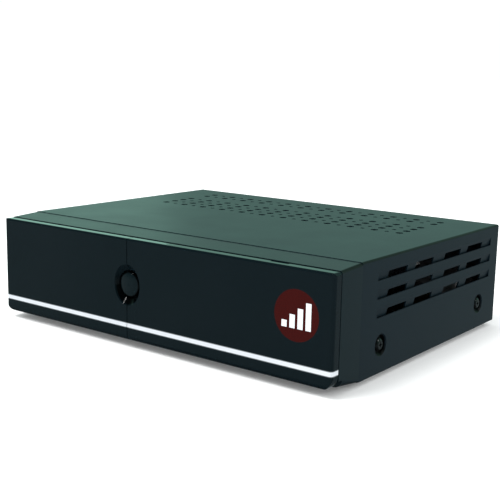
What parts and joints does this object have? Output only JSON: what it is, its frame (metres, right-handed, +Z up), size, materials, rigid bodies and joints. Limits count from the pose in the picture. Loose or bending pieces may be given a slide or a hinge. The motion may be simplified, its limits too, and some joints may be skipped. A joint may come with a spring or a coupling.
{
  "type": "satellite tv receiver",
  "caption": "Low black set-top box with a glossy front, bright stripe, round push button, drop-down flap over keys and a card slot, louvred steel cover and rear sockets.",
  "frame": {"origin": "on the table, under the middle of the object's overall box", "axes": "+X to the right seen from the front, +Y from the glossy front to the back, +Z up"},
  "size_m": [0.22, 0.1822, 0.0585],
  "materials": {
    "cover_steel": "fine satin black paint",
    "tray_steel": "fine satin black paint",
    "fascia_plastic": "fine moulded grain",
    "gloss_front": "polished black",
    "bright_bar": "bright satin",
    "button_gloss": "polished black",
    "key_plastic": "fine moulded grain",
    "screw_steel": "blackened",
    "plated_steel": "zinc plated",
    "magnet_black": "sintered",
    "foot_rubber": "matt",
    "board_green": "solder mask",
    "tin_plate": "bright tin plate",
    "chip_black": "matt epoxy",
    "sink_aluminium": "extruded, plain",
    "capacitor_sleeve": "shrunk sleeve",
    "display_smoke": "smoked window",
    "led_clear": "water clear",
    "switch_black": "moulded",
    "nickel_plate": "nickel plated",
    "rca_plastic": "moulded, one colour for each socket",
    "socket_black": "moulded",
    "contact_brass": "plated",
    "rocker_black": "moulded",
    "coil_tape": "wound tape",
    "fuse_glass": "clear",
    "cable_grey": "plain",
    "socket_white": "moulded nylon"
  },
  "bodies": {
    "housing": {"top_cover": "cover_steel", "bottom_chassis": "tray_steel", "fascia_frame": "fascia_plastic", "left_panel": "gloss_front", "left_stripe": "bright_bar", "side_screws": "screw_steel", "rear_screws": "screw_steel", "fascia_screws": "screw_steel", "board_screws": "plated_steel", "board_posts": "plated_steel", "hinge_pins": "plated_steel", "catch_magnet": "magnet_black", "rubber_feet": "foot_rubber", "front_board": "board_green", "reader_board": "board_green", "main_board": "board_green", "power_board": "board_green", "card_reader": "tin_plate", "front_usb_port": "tin_plate", "hdmi_port": "tin_plate", "rear_usb_port": "tin_plate", "ethernet_port": "tin_plate", "tuner_cans": "tin_plate", "processor": "chip_black", "memory_chips": "chip_black", "heatsink": "sink_aluminium", "psu_heatsink": "sink_aluminium", "board_capacitors": "capacitor_sleeve", "mains_capacitor": "capacitor_sleeve", "output_capacitors": "capacitor_sleeve", "display_module": "display_smoke", "ir_receiver": "display_smoke", "status_leds": "led_clear", "tact_switches": "switch_black", "f_connectors": "nickel_plate", "f_nuts": "nickel_plate", "rca_shells": "nickel_plate", "rca_inserts": "rca_plastic", "rca_block": "socket_black", "ac_inlet": "socket_black", "switch_housing": "socket_black", "port_inserts": "socket_black", "inlet_pins": "contact_brass", "transformer": "coil_tape", "line_filter": "coil_tape", "fuse": "fuse_glass", "ribbon_cable": "cable_grey", "power_leads": "cable_grey", "board_sockets": "socket_white"},
    "flap": {"flap_door": "gloss_front", "flap_stripe": "bright_bar", "catch_plate": "plated_steel"},
    "power_button": {"power_button": "button_gloss"},
    "rocker": {"rocker_switch": "rocker_black"},
    "key_1": {"key_1": "key_plastic"},
    "key_2": {"key_2": "key_plastic"},
    "key_3": {"key_3": "key_plastic"},
    "key_4": {"key_4": "key_plastic"},
    "key_5": {"key_5": "key_plastic"}
  },
  "joints": [
    {"name": "flap_hinge", "type": "hinge", "parent": "housing", "child": "flap", "pos_m": [0.048, -0.0861, 0.0069], "axis": [1, 0, 0], "range_deg": [0, 90]},
    {"name": "power_press", "type": "slide", "parent": "housing", "child": "power_button", "axis": [0, 1, 0], "range_m": [0, 0.0008], "stiffness_N_per_m": 800},
    {"name": "rocker_tilt", "type": "hinge", "parent": "housing", "child": "rocker", "pos_m": [0.0659, 0.07927, 0.0265], "axis": [0, 0, 1], "range_deg": [0, 24]},
    {"name": "key_1_press", "type": "slide", "parent": "housing", "child": "key_1", "axis": [0, 1, 0], "range_m": [0, 0.0005], "stiffness_N_per_m": 800},
    {"name": "key_2_press", "type": "slide", "parent": "housing", "child": "key_2", "axis": [0, 1, 0], "range_m": [0, 0.0005], "stiffness_N_per_m": 800},
    {"name": "key_3_press", "type": "slide", "parent": "housing", "child": "key_3", "axis": [0, 1, 0], "range_m": [0, 0.0005], "stiffness_N_per_m": 800},
    {"name": "key_4_press", "type": "slide", "parent": "housing", "child": "key_4", "axis": [0, 1, 0], "range_m": [0, 0.0005], "stiffness_N_per_m": 800},
    {"name": "key_5_press", "type": "slide", "parent": "housing", "child": "key_5", "axis": [0, 1, 0], "range_m": [0, 0.0005], "stiffness_N_per_m": 800}
  ]
}
